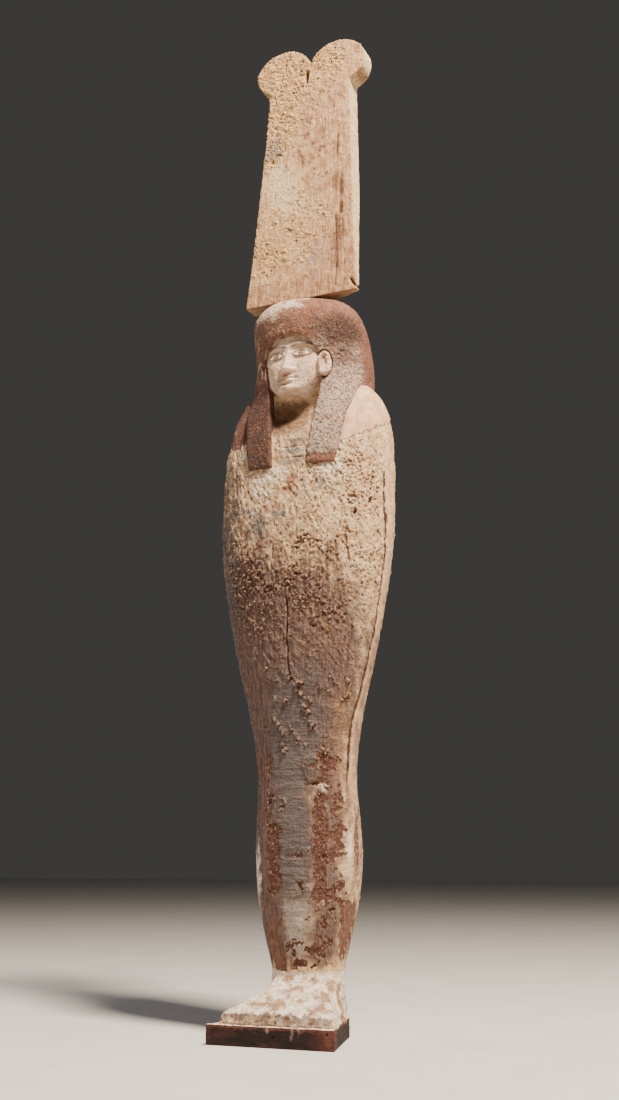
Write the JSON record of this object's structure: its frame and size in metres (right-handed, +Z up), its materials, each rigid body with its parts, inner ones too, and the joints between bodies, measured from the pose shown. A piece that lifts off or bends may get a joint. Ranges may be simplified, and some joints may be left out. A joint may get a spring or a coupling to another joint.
{
  "type": "ptah-sokar-osiris figure",
  "caption": "Mummiform wooden figure with a long wig, standing on its low plinth and carrying a tall flat crown of two feathers.",
  "frame": {"origin": "on the plinth's underside, below the upright axis of the figure's legs", "axes": "+Z up along the figure, -Y the way its face and toes point, +X its own left hand"},
  "size_m": [0.1096, 0.0923, 0.6263],
  "materials": {
    "dark_wood": "old dark wood, worn, half matt",
    "worn_gesso": "painted gesso over wood, flaked and matt",
    "ochre_gesso": "thin ochre gesso over bare wood, matt"
  },
  "bodies": {
    "root": {"plinth": "dark_wood", "figure": "worn_gesso", "feather_crown": "ochre_gesso"}
  },
  "joints": []
}
